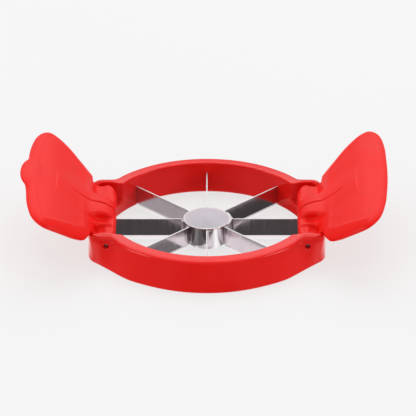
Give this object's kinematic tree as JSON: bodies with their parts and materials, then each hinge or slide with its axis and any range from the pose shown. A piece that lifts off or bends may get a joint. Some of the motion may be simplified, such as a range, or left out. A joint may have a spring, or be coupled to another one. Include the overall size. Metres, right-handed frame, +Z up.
{
  "type": "apple slicer",
  "caption": "Round apple corer and slicer: open frame with radial steel blades, a central coring ring, and leaf-shaped handles that fold inwards on steel pins.",
  "frame": {"origin": "on the coring ring's axis, in the plane that the frame stands on and where the ring's cutting edge lies", "axes": "+Z up out of the fruit mouth along the coring ring's axis, +X towards the plain handle, -X towards the handle with the thumb tab"},
  "size_m": [0.1652, 0.1046, 0.035],
  "materials": {
    "red_plastic": "smooth moulded, satin gloss",
    "handle_plastic": "smooth moulded, soft satin gloss",
    "blade_steel": "polished stainless steel with a ground edge",
    "ring_steel": "polished stainless steel",
    "pin_steel": "drawn steel rod"
  },
  "bodies": {
    "root": {"frame": "red_plastic", "coring_ring": "ring_steel", "blade_e": "blade_steel", "blade_ne": "blade_steel", "blade_n": "blade_steel", "blade_nw": "blade_steel", "blade_w": "blade_steel", "blade_sw": "blade_steel", "blade_s": "blade_steel", "blade_se": "blade_steel", "left_hinge_pin": "pin_steel", "right_hinge_pin": "pin_steel"},
    "left_handle": {"left_handle": "handle_plastic"},
    "right_handle": {"right_handle": "handle_plastic"}
  },
  "joints": [
    {"name": "left_handle_fold", "type": "hinge", "parent": "root", "child": "left_handle", "pos_m": [-0.0448, 0, 0.0113], "axis": [0, 1, 0], "range_deg": [0, 110]},
    {"name": "right_handle_fold", "type": "hinge", "parent": "root", "child": "right_handle", "pos_m": [0.0448, 0, 0.0113], "axis": [0, -1, 0], "range_deg": [0, 110]}
  ]
}
